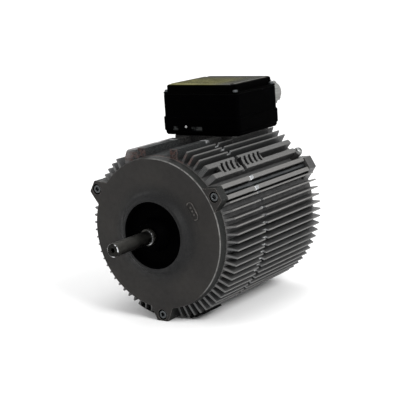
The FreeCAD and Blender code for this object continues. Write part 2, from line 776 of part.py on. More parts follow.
def bearing(prefix, station):
    """Deep-groove ball bearing 20 x 47 x 14 with a shield on each side."""
    middle = f"{station} + dim.bearing_width / 2"
    back = f"{station} + dim.bearing_width"
    body = new_body(f"{prefix}_bearing_outer_ring")
    outer = "dim.bearing_outer - 0.01"
    revolve(body, [
        (station, "20.2"), (station, f"{outer} - 0.6"), (f"{station} + 0.6", outer),
        (f"{back} - 0.6", outer), (back, f"{outer} - 0.6"), (back, "20.2"),
    ])
    race_groove(body, middle)
    keep(body)
    body = new_body(f"{prefix}_bearing_inner_ring")
    revolve(body, [
        (station, "dim.journal + 0.6"), (station, "13.3"), (back, "13.3"), (back, "dim.journal + 0.6"),
        (f"{back} - 0.6", "dim.journal"), (f"{station} + 0.6", "dim.journal"),
    ])
    race_groove(body, middle)
    keep(body)
    ball = doc.addObject("Part::Sphere", "ball")
    ball.setExpression("Radius", "dim.ball")
    copies(f"{prefix}_bearing_balls", ball, ring_places("dim.ball_circle", middle, range(0, 360, 45)))
    bearing_cage(prefix, middle)
    body = new_body(f"{prefix}_bearing_shields", several=True)
    for start in (f"{station} + 0.6", f"{back} - 1.0"):
        end = f"{start} + 0.4"
        revolve(body, [(start, "13.5"), (start, "20.19"), (end, "20.19"), (end, "13.5")])
    keep(body)


def bearing_cage(prefix, middle):
    """Ring that keeps the balls apart, with a round pocket for each."""
    body = new_body(f"{prefix}_bearing_cage")
    front, back = f"{middle} - 5", f"{middle} + 5"
    revolve(body, [(front, "15.5"), (front, "18"), (back, "18"), (back, "15.5")])
    sketch = sketch_on(body, "XY_Plane")
    circle(sketch, "0", along(middle), "dim.ball + 0.1")
    room = pocket(body, sketch, "20", to_rear=False)
    around(body, [room], 8)
    keep(body)


def bearing_circlip():
    """Internal ring with a gap and two eared ends, in the groove behind the front bearing."""
    body = new_body("front_bearing_circlip")
    start = "dim.bearing_front + dim.bearing_width + 0.05"
    revolve(body, [(start, "22"), (start, "24.8"), (f"{start} + 1.2", "24.8"), (f"{start} + 1.2", "22")])
    sketch = cross_sketch(body, start)
    for across in ("-5", "5"):
        circle(sketch, across, "-20.8", "2.2")
    pad(body, sketch, "1.2")
    sketch = cross_sketch(body, start)
    box_outline(sketch, "-2.6", "2.6", "-26", "-17")
    pocket(body, sketch, "1.2")
    sketch = cross_sketch(body, start)
    for across in ("-5", "5"):
        circle(sketch, across, "-20.8", "0.9")
    pocket(body, sketch, "1.2")
    return keep(body)


def seals():
    rim = "-dim.hub_height + 0.6"
    turned("front_bearing_cover", [
        ("2", "dim.journal + 0.6"), ("2", "dim.hub - 0.1"), (rim, "dim.hub - 0.1"), (rim, "dim.hub - 1.6"),
        ("-0.5", "dim.hub - 4"), ("-0.5", "21"), ("-11.5", "15"), ("-13.5", "13.4"),
        ("-13.5", "dim.journal + 0.6"),
    ])
    turned("front_shaft_seal", [
        ("3", "11.5"), ("3", "17.45"), ("9.9", "17.45"), ("9.9", "14.5"), ("5", "14"), ("5", "12"),
        ("7", "dim.journal + 0.03"), ("6.2", "dim.journal + 0.03"), ("4.5", "11.2"),
    ])
    turned("rear_preload_spring", [
        ("203.05", "22.4"), ("203.05", "23.3"), ("203.9", "23.3"), ("204.9", "20.6"), ("204.9", "20"),
        ("204.2", "20"),
    ])
    turned("rear_bearing_cap", [
        ("208", "0"), ("208", "15"), ("209", "18"), ("209", "19.98"), ("213.5", "19.98"), ("213.5", "18.6"),
        ("210.2", "18"), ("209.2", "14.6"), ("209.2", "0"),
    ])
    for label, station in (("front_endshield_oring", "13.4"), ("rear_endshield_oring", "191.2")):
        ring = doc.addObject("Part::Torus", label)
        ring.setExpression("Radius1", "dim.register - 0.88")
        ring.setExpression("Radius2", "0.9")
        ring.Placement = FreeCAD.Placement(VECTOR(0, 0, 0), UPRIGHT)
        ring.setExpression("Placement.Base.y", along(station))
        keep(ring, label)


# ---------------------------------------------------------------- tie bolts and earth screw

def socket_screw(label, radius, head, length, head_height):
    """Socket-head screw with its head's underside at 0 and its shank along +Y."""
    top = f"-({head_height})"
    body = turned_piece(label, [
        (top, "0"), (top, f"{head} - 0.5"), (f"{top} + 0.5", head), ("0", head), ("0", radius),
        (f"{length} - 0.8", radius), (length, f"{radius} - 0.8"), (length, "0"),
    ])
    sketch = sketch_on(body, "XZ_Plane", head_height)
    hexagon(sketch, "5.1")
    pocket(body, sketch, f"{head_height} * 0.6")
    return body


def tie_bolts():
    seat = "dim.counterbore_depth"
    washer = "1.5"
    bolt = socket_screw("tie_bolt", "dim.bolt", "dim.bolt_head", f"212 - {seat} + {washer}", "6")
    copies("tie_bolts", bolt, ring_places("dim.bolt_circle", f"{seat} - {washer}", LUG_ANGLES))
    ring = turned_piece("lock_washer", [
        ("0", "dim.bolt + 0.1"), ("0", "5.1"), (washer, "5.1"), (washer, "dim.bolt + 0.1"),
    ])
    copies("tie_bolt_washers", ring, ring_places("dim.bolt_circle", f"{seat} - {washer}", LUG_ANGLES))


def earth_screw():
    """Round-headed screw and washer on the rear endshield's boss, beside the upper right lug."""
    tilt = FreeCAD.Rotation(VECTOR(0, 1, 0), -EARTH_ANGLE)
    lying = FreeCAD.Rotation(VECTOR(0, 0, 1), -90)        # own +Y becomes +X
    turn = tilt.multiply(lying)

    def place(distance):
        across = f"({distance}) * cos({EARTH_ANGLE} deg)"
        return [(across, along(EARTH_STATION), f"({distance}) * sin({EARTH_ANGLE} deg)", turn)]

    screw = turned_piece("screw", [
        ("-9", "0"), ("-9", "1.9"), ("-8.4", "dim.earth_screw"), ("0", "dim.earth_screw"), ("0", "4.6"),
        ("2", "4.4"), ("3", "3.4"), ("3.4", "1.6"), ("1.8", "1.4"), ("1.8", "0"),
    ])
    copies("earth_screw", screw, place("dim.earth_seat + 1.1"))
    ring = turned_piece("washer", [
        ("0", "dim.earth_screw + 0.1"), ("0", "5.4"), ("1.1", "5.4"), ("1.1", "dim.earth_screw + 0.1"),
    ])
    copies("earth_washer", ring, place("dim.earth_seat"))


# ---------------------------------------------------------------- terminal box

def block(body, left, right, front, back, low, high, kind="PartDesign::Pad"):
    """Upright block or pocket between two heights; all six are expressions."""
    level = low if kind == "PartDesign::Pad" else high
    sketch = sketch_on(body, "XY_Plane", str(level))
    box_outline(sketch, left, right, along(front), along(back))
    item = feature(body, kind, sketch)
    item.setExpression("Length", f"({high}) - ({low})")
    return item


def lid_screw_places(height):
    """Places of the four lid screws, in the corners of the box."""
    places = []
    for across in ("-(dim.box_half - dim.lid_screw_inset)", "dim.box_half - dim.lid_screw_inset"):
        for station in ("dim.box_front + dim.lid_screw_inset", "dim.box_back - dim.lid_screw_inset"):
            places.append((across, along(station), height, UPRIGHT))
    return places


def corner_circles(body, radius, level, length, make=pocket):
    """A hole, or with make=rise a post, at each lid screw."""
    sketch = sketch_on(body, "XY_Plane", level)
    for across, station, _, _ in lid_screw_places(level):
        circle(sketch, across, station, radius)
    make(body, sketch, length)


def wall_hole(body, across):
    """Cable entry through the rear wall."""
    sketch = cross_sketch(body, "dim.box_back - dim.box_wall - 1")
    circle(sketch, across, "dim.entry_z", "dim.entry")
    pocket(body, sketch, "dim.box_wall + 2")


def terminal_box_base():
    """Open-topped box with a raised band round its foot, posts for its screws and two cable entries."""
    body = new_body("terminal_box_base")
    half, floor, band = size("box_half"), size("box_floor"), 1.3
    block(body, "-dim.box_half", "dim.box_half", "dim.box_front", "dim.box_back",
          "dim.box_floor", "dim.box_rim")
    fillet(body, 5.0, lambda edge: direction(edge) == "Z")
    dress(body, "PartDesign::Chamfer", 2.2, lambda edge: edge.BoundBox.ZMax < floor + 0.01)
    block(body, f"-dim.box_half - {band}", f"dim.box_half + {band}", f"dim.box_front - {band}",
          f"dim.box_back + {band}", "dim.box_floor + 5", "dim.box_floor + 23")
    fillet(body, 5.5, lambda edge: direction(edge) == "Z" and abs(edge.CenterOfMass.x) > half + 1)

    def band_edge(edge):
        """Outer edges of the band, at its foot and at its top."""
        reach, centre = edge.BoundBox, edge.CenterOfMass
        at_level = min(abs(reach.ZMin - floor - 5), abs(reach.ZMin - floor - 23)) < 0.01
        station = centre.y - size("front_y")
        outside = abs(centre.x) > half + 0.3 or station < size("box_front") - 0.3
        outside = outside or station > size("box_back") + 0.3
        return at_level and reach.ZLength < 0.01 and outside
    dress(body, "PartDesign::Chamfer", 1.2, band_edge)
    wall = "dim.box_wall"
    block(body, f"-(dim.box_half - {wall})", f"dim.box_half - {wall}", f"dim.box_front + {wall}",
          f"dim.box_back - {wall}", "dim.box_floor + 4", "dim.box_rim", "PartDesign::Pocket")
    corner_circles(body, "2.7", "dim.box_floor + 3.5", "dim.box_rim - dim.box_floor - 3.5", rise)
    corner_circles(body, "dim.lid_screw", "dim.box_rim", "16")
    block(body, "-dim.duct_half", "dim.duct_half", "dim.duct_front", "dim.duct_back", "dim.box_floor - 1",
          "dim.box_floor + 4", "PartDesign::Pocket")
    pad_screw_holes(body, "dim.box_floor + 4", "dim.pad_screw + 0.3", "5")
    for across in ("-dim.entry_x", "dim.entry_x"):
        wall_hole(body, across)
    # Posts for the terminal board, then two shallow panels and a blind plug on the front wall.
    sketch = sketch_on(body, "XY_Plane", "dim.box_floor + 3.5")
    for across in ("-27", "27"):
        circle(sketch, across, along("164"), "3.4")
    rise(body, sketch, "6.5")
    sketch = cross_sketch(body, "dim.box_front - 2")
    box_outline(sketch, "-41", "-33", "dim.box_floor + 6.5", "dim.box_floor + 11")
    box_outline(sketch, "-13", "3", "dim.box_floor + 6.5", "dim.box_floor + 11")
    pocket(body, sketch, "1.3")
    sketch = cross_sketch(body, "dim.box_front")
    circle(sketch, "-20.5", "dim.box_floor + 10.7", "1.6")
    pad(body, sketch, "2.2", to_rear=False)
    return keep(body)


def flat_frame(label, low, high, wall):
    """Flat rectangular seal under the edge of the box."""
    body = new_body(label)
    block(body, "-dim.box_half + 1", "dim.box_half - 1", "dim.box_front + 1", "dim.box_back - 1", low, high)
    fillet(body, 4.0, lambda edge: direction(edge) == "Z")
    block(body, f"-(dim.box_half - {wall})", f"dim.box_half - {wall}", f"dim.box_front + {wall}",
          f"dim.box_back - {wall}", low, high, "PartDesign::Pocket")
    return body


def terminal_box_seals():
    body = flat_frame("terminal_box_lid_seal", "dim.box_rim", "dim.box_rim + 0.8", 3)
    keep(body)
    body = new_body("terminal_box_base_seal")
    block(body, "-dim.pad_half + 0.5", "dim.pad_half - 0.5", "dim.pad_front + 0.5", "dim.pad_back - 0.5",
          "dim.pad_top", "dim.box_floor")
    block(body, "-dim.duct_half - 3", "dim.duct_half + 3", "dim.duct_front - 3", "dim.duct_back + 3",
          "dim.pad_top", "dim.box_floor", "PartDesign::Pocket")
    pad_screw_holes(body, "dim.box_floor", "dim.pad_screw + 0.3", "1")
    keep(body)


def terminal_box_lid():
    body = new_body("terminal_box_lid")
    block(body, "-dim.box_half", "dim.box_half", "dim.box_front", "dim.box_back", "dim.box_rim + 0.8",
          "dim.lid_flange")
    fillet(body, 5.0, lambda edge: direction(edge) == "Z")
    block(body, "-(dim.box_half - dim.lid_inset)", "dim.box_half - dim.lid_inset", "dim.box_front + 0.6",
          "dim.box_back - 0.6", "dim.lid_flange", "dim.lid_top")
    corner_circles(body, "5.2", "dim.lid_top", "dim.lid_top - dim.lid_flange")
    top = size("lid_top")
    fillet(body, 2.4, lambda edge: edge.BoundBox.ZMin > top - 0.01)
    corner_circles(body, "1.8", "dim.lid_flange", "6")
    block(body, "-(dim.box_half - 10)", "dim.box_half - 10", "dim.box_front + 6", "dim.box_back - 5",
          "dim.lid_top - 0.7", "dim.lid_top", "PartDesign::Pocket")
    sketch = sketch_on(body, "XY_Plane", "dim.lid_top - 0.8")
    box_outline(sketch, "-42", "-40.4", along("dim.box_front + 5.5"), along("dim.box_back - 4.5"))
    rib = rise(body, sketch, "0.7")
    in_line(body, [rib], "X_Axis", 21, 82.4)
    block(body, "-(dim.box_half - dim.lid_inset - 3)", "dim.box_half - dim.lid_inset - 3",
          "dim.box_front + 11.5", "dim.box_back - 11.5", "dim.box_rim + 0.8", "dim.lid_top - 3.7",
          "PartDesign::Pocket")
    return keep(body)


def slotted_screw(label, radius, head, head_height, length):
    """Cheese-head screw with its head's underside at 0, its head towards +Y and its shank towards -Y."""
    body = turned_piece(label, [
        (-length, "0"), (-length, f"{radius} - 0.4"), (0.4 - length, radius), ("0", radius), ("0", head),
        (head_height - 0.5, head), (head_height, head - 0.6), (head_height, "0"),
    ])
    sketch = sketch_on(body, "XZ_Plane", f"-({head_height})")
    box_outline(sketch, f"-({head} + 1)", f"{head} + 1", "-0.5", "0.5")
    pocket(body, sketch, f"{head_height} * 0.5", to_rear=False)
    return body


def terminal_box_screws():
    lid_screw = slotted_screw("lid_screw", "dim.lid_screw - 0.02", 3.2, 2.6, 18)
    copies("terminal_box_lid_screws", lid_screw, lid_screw_places("dim.lid_flange + 0.02"))
    base_screw = slotted_screw("base_screw", "dim.pad_screw - 0.02", 3.8, 2.8, 12)
    copies("terminal_box_base_screws", base_screw, pad_screw_places("dim.box_floor + 4.02"))


STUD_ACROSS = (-18, 0, 18)
STUD_STATIONS = (157, 171)


def stud_places(height):
    places = []
    for across in STUD_ACROSS:
        for station in STUD_STATIONS:
            places.append((across, along(station), height, UPRIGHT))
    return places


BOARD_LOW = 110
BOARD_HIGH = 117
LINK = 1.2                        # thickness of a link between two studs
NUT = 3.2
PLAY = 0.02                       # between pieces that lie on each other


def terminal_board():
    """Board with six studs, the three links that join them in pairs, and two nuts on each stud."""
    body = new_body("terminal_board")
    block(body, "-33", "33", "147", "181", BOARD_LOW, BOARD_HIGH)
    fillet(body, 3.0, lambda edge: direction(edge) == "Z")
    sketch = sketch_on(body, "XY_Plane", str(BOARD_HIGH))
    for across, station, _, _ in stud_places(BOARD_HIGH):
        circle(sketch, across, station, "2.05")
    for across in ("-27", "27"):
        circle(sketch, across, along("164"), "2")
    pocket(body, sketch, BOARD_HIGH - BOARD_LOW)
    sketch = sketch_on(body, "XY_Plane", str(BOARD_HIGH - 0.2))
    for middle in (-9, 9):
        box_outline(sketch, middle - 0.9, middle + 0.9, along("147.5"), along("180.5"))
    rise(body, sketch, "5.2")
    keep(body)
    stud = turned_piece("stud", [("-6", "0"), ("-6", "2"), ("15", "2"), ("15.6", "1.4"), ("15.6", "0")])
    copies("terminal_studs", stud, stud_places(BOARD_HIGH))
    link_low = BOARD_HIGH + NUT + 2 * PLAY
    terminal_nuts(link_low)
    terminal_links(link_low)
    screw = slotted_screw("board_screw", 1.95, 3.6, 2.4, 7)
    places = [(across, along("164"), BOARD_HIGH + PLAY, UPRIGHT) for across in (-27, 27)]
    copies("terminal_board_screws", screw, places)


def terminal_nuts(link_low):
    nut = new_body("nut")
    sketch = sketch_on(nut, "XZ_Plane")
    hexagon(sketch, "7")
    circle(sketch, "0", "0", "2.05")
    pad(nut, sketch, NUT)
    copies("terminal_nuts", nut, stud_places(BOARD_HIGH + PLAY) + stud_places(link_low + LINK + PLAY))


def terminal_links(low):
    link = new_body("link")
    first, last = STUD_STATIONS
    block(link, "-3.6", "3.6", first - 3.6, last + 3.6, low, low + LINK)
    sketch = sketch_on(link, "XY_Plane", str(low + LINK))
    for station in STUD_STATIONS:
        circle(sketch, "0", along(station), "2.1")
    pocket(link, sketch, LINK)
    copies("terminal_links", link, [(across, "0", "0", STRAIGHT) for across in STUD_ACROSS])


def winding_leads():
    """Six insulated leads from the rear end turns up through the duct to the studs."""
    leads = []
    radius = 1.5
    for across in STUD_ACROSS:
        nearest = max(abs(across) - radius, 0)
        foot = f"sqrt(dim.end_turn_outer ^ 2 - {nearest} ^ 2) + {PLAY}"
        for station in STUD_STATIONS:
            lead = doc.addObject("Part::Cylinder", "lead")
            lead.setExpression("Radius", f"{radius}")
            lead.setExpression("Height", f"110.9 - ({foot})")
            lead.setExpression("Placement.Base.x", f"{across}")
            lead.setExpression("Placement.Base.y", along(station))
            lead.setExpression("Placement.Base.z", foot)
            leads.append(lead)
    group = doc.addObject("Part::Compound", "winding_leads")
    group.Links = leads
    return keep(group, "winding_leads")


# ---------------------------------------------------------------- cable entries

def at_entry(label, body, across):
    """Move a piece that was made about the Y axis to a cable entry."""
    copies(label, body, [(across, "0", "dim.entry_z", STRAIGHT)])


def from_wall(*corners):
    """Outline whose stations are counted from the box's rear wall, towards the rear."""
    return [(f"dim.box_back + ({distance})", radius) for distance, radius in corners]


def gland_body():
    body = new_body("gland_body_piece")
    thread = "dim.entry - 0.1"
    revolve(body, from_wall(
        (-11, "7.6"), (-11, thread), (PLAY, thread), (PLAY, "14"), (1.5, "14"), (1.5, "10.6"), (16, "10.6"),
        (16, "9.2"), (2, "9.2"), (1, "7.6"),
    ))
    collar = cross_sketch(body, "dim.box_back + 1.5")
    hexagon(collar, "27")
    circle(collar, "0", "0", "10")
    pad(body, collar, "5")
    at_entry("cable_gland_body", body, "dim.entry_x")


def gland_nut():
    """Cap nut with grip ribs, which presses the seal on the cable."""
    body = new_body("gland_nut_piece")
    mouth = "dim.cable + 0.8"
    revolve(body, from_wall(
        (7, "10.7"), (7, "15"), (22, "15"), (27.5, "13.2"), (31, "10.5"), (31, mouth), (25.5, mouth),
        (21, "9.4"), (16.5, "9.4"), (16.5, "10.7"),
    ))
    grip = cross_sketch(body, "dim.box_back + 7.5")
    box_outline(grip, "-2", "2", "13.4", "16.1")
    rib = pad(body, grip, "15")
    around(body, [rib], 12)
    at_entry("cable_gland_nut", body, "dim.entry_x")


def gland_seal():
    body = new_body("gland_seal_piece")
    revolve(body, from_wall(
        (4, "dim.cable"), (4, "9.1"), (20, "9.1"), (24, "7"), (24, "dim.cable"),
    ))
    at_entry("cable_gland_seal", body, "dim.entry_x")


def gland_locknut():
    body = new_body("locknut_piece")
    sketch = cross_sketch(body, f"dim.box_back - dim.box_wall - 5 - {PLAY}")
    hexagon(sketch, "22")
    circle(sketch, "0", "0", "dim.entry")
    pad(body, sketch, "5")
    at_entry("cable_gland_locknut", body, "dim.entry_x")


def blanking_plug():
    """Plug with a slot for a coin, in the entry that is not used."""
    body = new_body("plug_piece")
    thread = "dim.entry - 0.1"
    revolve(body, from_wall(
        (-9, "7.5"), (-9, thread), (PLAY, thread), (PLAY, "13.2"), (3, "13.2"), (4, "12"), (4, "0"),
        (1.5, "0"), (1.5, "7.5"),
    ))
    coin = cross_sketch(body, "dim.box_back + 4")
    box_outline(coin, "-8.5", "8.5", "-1.1", "1.1")
    pocket(body, coin, "1.6", to_rear=False)
    at_entry("blanking_plug", body, "-dim.entry_x")


def rest_pads():
    """Two rubber pads under the front of the fins, one on each side of the bottom lug."""
    body = new_body("rest_pads", several=True)
    span, steps = 14, 4
    for first in (-76, -118):
        angles = [first + span * step / steps for step in range(steps + 1)]
        corners = []
        for radius, way in (("(dim.tip + 0.05)", angles), ("(dim.tip + 3)", reversed(angles))):
            for angle in way:
                corners.append((f"{radius} * cos({angle} deg)", f"{radius} * sin({angle} deg)"))
        sketch = cross_sketch(body, "19")
        outline(sketch, corners)
        pad(body, sketch, "32")
    return keep(body)


# ---------------------------------------------------------------- build, test, export

def build():
    finned_frame()
    front_endshield()
    rear_endshield()
    shaft()
    rotor_core()
    rotor_cage()
    stator_core()
    stator_winding()
    slot_wedges()
    bearing("front", "dim.bearing_front")
    bearing("rear", "dim.bearing_back")
    bearing_circlip()
    seals()
    tie_bolts()
    earth_screw()
    terminal_box_base()
    terminal_box_seals()
    terminal_box_lid()
    terminal_box_screws()
    terminal_board()
    winding_leads()
    gland_body()
    gland_nut()
    gland_seal()
    gland_locknut()
    blanking_plug()
    rest_pads()


def check():
    """Stop before anything is written if a feature failed or a shape is not sound."""
    doc.recompute()
    faults = []
    for item in doc.Objects:
        if "Invalid" in item.State or "Error" in item.State:
            faults.append(f"{item.Label}: {item.State}")
    for item in SUBPARTS:
        if item.Shape.isNull() or not item.Shape.isValid() or not item.Shape.Solids:
            faults.append(f"{item.Label}: shape is not sound")
    if faults:
        raise RuntimeError("; ".join(faults))


def export():
    os.makedirs("parts", exist_ok=True)
    for item in SUBPARTS:
        item.Shape.exportStep(os.path.join("parts", f"{item.Label}.step"))
        print(f"{item.Label}: {len(item.Shape.Solids)} solids, {item.Shape.Volume / 1000:.2f} cm3")


build()
check()
export()
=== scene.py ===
"""Looks of a finned electric motor: materials, light and camera round the CAD model.

Everything is in metres in the model's own frame. The shaft lies along Y and points to -Y, +Z is up and
y = 0 is the rear mounting face, so a material can tell by position which surfaces were machined.
"""

import json
import math

import bpy
from mathutils import Matrix, Vector


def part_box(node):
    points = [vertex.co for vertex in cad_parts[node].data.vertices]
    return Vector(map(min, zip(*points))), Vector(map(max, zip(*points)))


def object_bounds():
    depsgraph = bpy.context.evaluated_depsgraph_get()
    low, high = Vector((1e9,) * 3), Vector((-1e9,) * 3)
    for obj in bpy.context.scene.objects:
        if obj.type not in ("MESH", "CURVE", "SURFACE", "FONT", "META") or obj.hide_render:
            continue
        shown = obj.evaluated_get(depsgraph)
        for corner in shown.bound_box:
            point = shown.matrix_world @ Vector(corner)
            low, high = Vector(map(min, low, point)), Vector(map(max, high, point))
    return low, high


MM = 0.001

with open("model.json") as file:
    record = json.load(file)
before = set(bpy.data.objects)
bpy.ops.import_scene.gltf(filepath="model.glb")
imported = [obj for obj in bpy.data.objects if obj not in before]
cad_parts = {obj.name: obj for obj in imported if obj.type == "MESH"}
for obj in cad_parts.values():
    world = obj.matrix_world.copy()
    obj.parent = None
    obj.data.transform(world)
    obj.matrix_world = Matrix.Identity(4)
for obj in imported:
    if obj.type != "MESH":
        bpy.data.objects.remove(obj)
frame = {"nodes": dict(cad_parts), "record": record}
cad_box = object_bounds()


# ---------------------------------------------------------------- material nodes

class Look:
    """A material in the making. A value is a number, a colour or the output of another node."""

    def __init__(self, name):
        self.material = bpy.data.materials.new(name)
        self.material.use_nodes = True
        self.tree = self.material.node_tree
        self.shader = self.tree.nodes["Principled BSDF"]
        self.place = self.tree.nodes.new("ShaderNodeTexCoord").outputs["Object"]
        parts = self.tree.nodes.new("ShaderNodeSeparateXYZ")
        self.tree.links.new(self.place, parts.inputs[0])
        self.x, self.y, self.z = parts.outputs
        self.normal = None

    def put(self, socket, value):
        """Give a socket another node's output, or a fixed value."""
        if isinstance(value, bpy.types.NodeSocket):
            self.tree.links.new(value, socket)
        elif hasattr(socket.default_value, "__len__") and not hasattr(value, "__len__"):
            socket.default_value = [value] * len(socket.default_value)
        elif hasattr(value, "__len__") and len(value) == 3 and socket.type == "RGBA":
            socket.default_value = (*value, 1.0)
        else:
            socket.default_value = value

    def node(self, kind, output, inputs, **settings):
        """Add a node with these inputs and settings, and return one of its outputs."""
        node = self.tree.nodes.new(kind)
        for name, value in settings.items():
            setattr(node, name, value)
        for name, value in inputs.items():
            self.put(node.inputs[name], value)
        return node.outputs[output]

    def calc(self, operation, first, second=0.0):
        """Arithmetic on one or two numbers."""
        return self.node("ShaderNodeMath", 0, {0: first, 1: second}, operation=operation)

    def opposite(self, mask):
        """Mask that is 1 where the given one is 0."""
        return self.calc("SUBTRACT", 1.0, mask)

    def away(self, value, middle):
        """How far a value lies from a middle, on either side."""
        return self.calc("ABSOLUTE", self.calc("SUBTRACT", value, middle))

    def noise(self, size, detail=3.0, rough=0.55, vector=None, stretch=None):
        """Cloudy pattern from 0 to 1 whose lumps are about as large as size, in metres."""
        vector = vector or self.place
        if stretch:
            vector = self.node("ShaderNodeVectorMath", 0, {0: vector, 1: stretch}, operation="MULTIPLY")
        values = {"Vector": vector, "Scale": 1.0 / size, "Detail": detail, "Roughness": rough}
        return self.node("ShaderNodeTexNoise", "Fac", values)

    def cells(self, size):
        """Distance to the nearest of many scattered points, as a share of size, their spacing."""
        values = {"Vector": self.place, "Scale": 1.0 / size}
        return self.node("ShaderNodeTexVoronoi", "Distance", values)

    def step(self, value, low, high, to_low=0.0, to_high=1.0):
        """Smooth step of a value between two limits."""
        values = {"Value": value, "From Min": low, "From Max": high, "To Min": to_low, "To Max": to_high}
        return self.node("ShaderNodeMapRange", "Result", values, interpolation_type="SMOOTHSTEP")

    def mix(self, factor, first, second):
        """Blend of two colours."""
        node = self.tree.nodes.new("ShaderNodeMix")
        node.data_type = "RGBA"
        self.put(node.inputs[0], factor)
        self.put(node.inputs[6], first)
        self.put(node.inputs[7], second)
        return node.outputs[2]

    def blend(self, factor, first, second):
        """Blend of two numbers."""
        node = self.tree.nodes.new("ShaderNodeMix")
        self.put(node.inputs[0], factor)
        self.put(node.inputs[2], first)
        self.put(node.inputs[3], second)
        return node.outputs[0]

    def reach(self):
        """Distance from the shaft's axis."""
        across = self.calc("MULTIPLY", self.x, self.x)
        up = self.calc("MULTIPLY", self.z, self.z)
        return self.calc("SQRT", self.calc("ADD", across, up))

    def angle(self):
        """Angle about the shaft's axis, in turns."""
        return self.calc("DIVIDE", self.calc("ARCTAN2", self.x, self.z), 2 * math.pi)

    def wave(self, value, period):
        """Sine of a length, from 0 to 1."""
        turn = self.calc("SINE", self.calc("MULTIPLY", value, 2 * math.pi / period))
        return self.calc("ADD", self.calc("MULTIPLY", turn, 0.5), 0.5)

    def upward(self):
        """How far the surface faces up, 1 where it is level."""
        flat = self.node("ShaderNodeNewGeometry", "Normal", {})
        return self.node("ShaderNodeSeparateXYZ", "Z", {0: flat})

    def round_edges(self, radius):
        """Shade every edge as if it were rounded, and return a mask of the edges."""
        self.normal = self.node("ShaderNodeBevel", 0, {"Radius": radius}, samples=6)
        flat = self.node("ShaderNodeNewGeometry", "Normal", {})
        values = {0: self.normal, 1: flat}
        same = self.node("ShaderNodeVectorMath", "Value", values, operation="DOT_PRODUCT")
        return self.step(same, 0.995, 0.90)

    def hollow(self, distance):
        """Mask that is 1 where a surface is shut in by others, in corners and gaps."""
        seen = self.node("ShaderNodeAmbientOcclusion", "AO", {"Distance": distance}, samples=6)
        return self.step(seen, 0.75, 0.25)

    def bump(self, height, depth, strength=1.0):
        """Raise the surface by depth where height is 1, on top of the bumps so far."""
        values = {"Height": height, "Distance": depth, "Strength": strength}
        if self.normal is not None:
            values["Normal"] = self.normal
        self.normal = self.node("ShaderNodeBump", 0, values)

    def finish(self, color, rough, metallic=0.0, **more):
        """Give the shader its values, the extra ones by name, and return the material."""
        self.put(self.shader.inputs["Base Color"], color)
        self.put(self.shader.inputs["Roughness"], rough)
        self.put(self.shader.inputs["Metallic"], metallic)
        for name, value in more.items():
            self.put(self.shader.inputs[name.replace("_", " ")], value)
        if self.normal is not None:
            self.tree.links.new(self.normal, self.shader.inputs["Normal"])
        return self.material


def both(look, first, second):
    """Mask where both masks are 1."""
    return look.calc("MULTIPLY", first, second)


def either(look, first, second):
    """Mask where one of the masks is 1."""
    return look.calc("MAXIMUM", first, second)


def within(look, value, low, high, soft=0.2 * MM):
    """Mask that is 1 between two limits."""
    return both(look, look.step(value, low - soft, low), look.step(value, high + soft, high))


def shade(color, amount):
    """Colour made darker, or lighter where amount is more than 1."""
    return [min(1.0, part * amount) for part in color]


# ---------------------------------------------------------------- landmarks of the model

# Places along the shaft, as y.
SHAFT_END = -298.0 * MM
SHAFT_STEP = -233.8 * MM          # shoulder behind the shaft's extension
FACE = -216.0 * MM                # front face of the front endshield
BAND_MIDDLE = -139.5 * MM         # groove for a clamping band, cut across the fins
BAND_HALF = 3.5 * MM
BOX_FRONT = -111.5 * MM           # front wall of the terminal box
CORE_MIDDLE = -109.0 * MM         # laminated core, between the end turns
CORE_HALF = 45.0 * MM

# Distances from the shaft's axis.
SHAFT = 8.0 * MM
CROWN = 60.0 * MM                 # outside of the slope in the middle of the face
REGISTER = 84.0 * MM              # radius inside which the castings are machined
FACE_EDGE = 90.0 * MM
BAND_FLOOR = 100.5 * MM
FIN_TIP = 105.0 * MM

# Directions about the shaft, in turns from +Z towards +X, and the soft border of a sector.
RELIEF_TURN = 44.15 / 360         # web between the two thick ribs
RELIEF_HALF = 7.0 / 360
BOLT_TURN = 60.0 / 360            # right tie bolt, between its two ribs
BOLT_HALF = 6.5 / 360
SOFT_TURN = 0.002

# The top of the frame, which carries the terminal box, and two details of the box's front wall.
TOP_HALF = 46.0 * MM
TOP_START = 80.0 * MM             # z
BLIND_PLUG_X = -20.5 * MM
BLIND_PLUG_HALF = 1.7 * MM
PANELS_X = ((-41 * MM, -33 * MM), (-13 * MM, 3 * MM))
PANELS_TOP = 111.0 * MM           # z


# ---------------------------------------------------------------- cast metal

BARE_CAST = (0.62, 0.63, 0.64)


